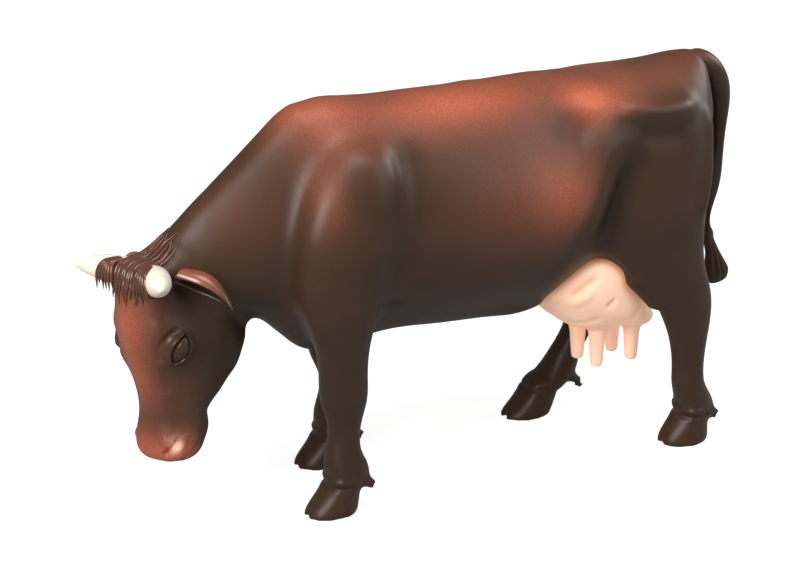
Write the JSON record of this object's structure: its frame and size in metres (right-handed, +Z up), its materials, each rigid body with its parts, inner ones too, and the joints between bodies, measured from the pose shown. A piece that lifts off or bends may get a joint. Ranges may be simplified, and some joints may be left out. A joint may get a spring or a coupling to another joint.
{
  "type": "cow figurine",
  "caption": "Grazing cow figurine with lowered head, short horns, full udder and hanging tail, moulded in hollow halves and airbrushed brown; stands freely on its hooves.",
  "frame": {"origin": "middle of the ground area that the whole cow covers, at the level of the hoof soles", "axes": "+Z up, the cow faces -X, its left side is at -Y"},
  "size_m": [0.1632, 0.045, 0.0932],
  "materials": {
    "coat": "satin airbrushed brown, reddish on the back, hips and muzzle, dark below",
    "horn": "satin ivory",
    "udder_skin": "satin peach pink with deeper pink in the folds"
  },
  "bodies": {
    "root": {"body_shell_left": "coat", "body_shell_right": "coat", "leg_inner_front_left": "coat", "leg_inner_front_right": "coat", "leg_inner_hind_left": "coat", "leg_inner_hind_right": "coat", "head_shell_left": "coat", "head_shell_right": "coat", "horn_left": "horn", "horn_right": "horn", "ear_left": "coat", "ear_right": "coat", "udder": "udder_skin", "tail": "coat"}
  },
  "joints": []
}
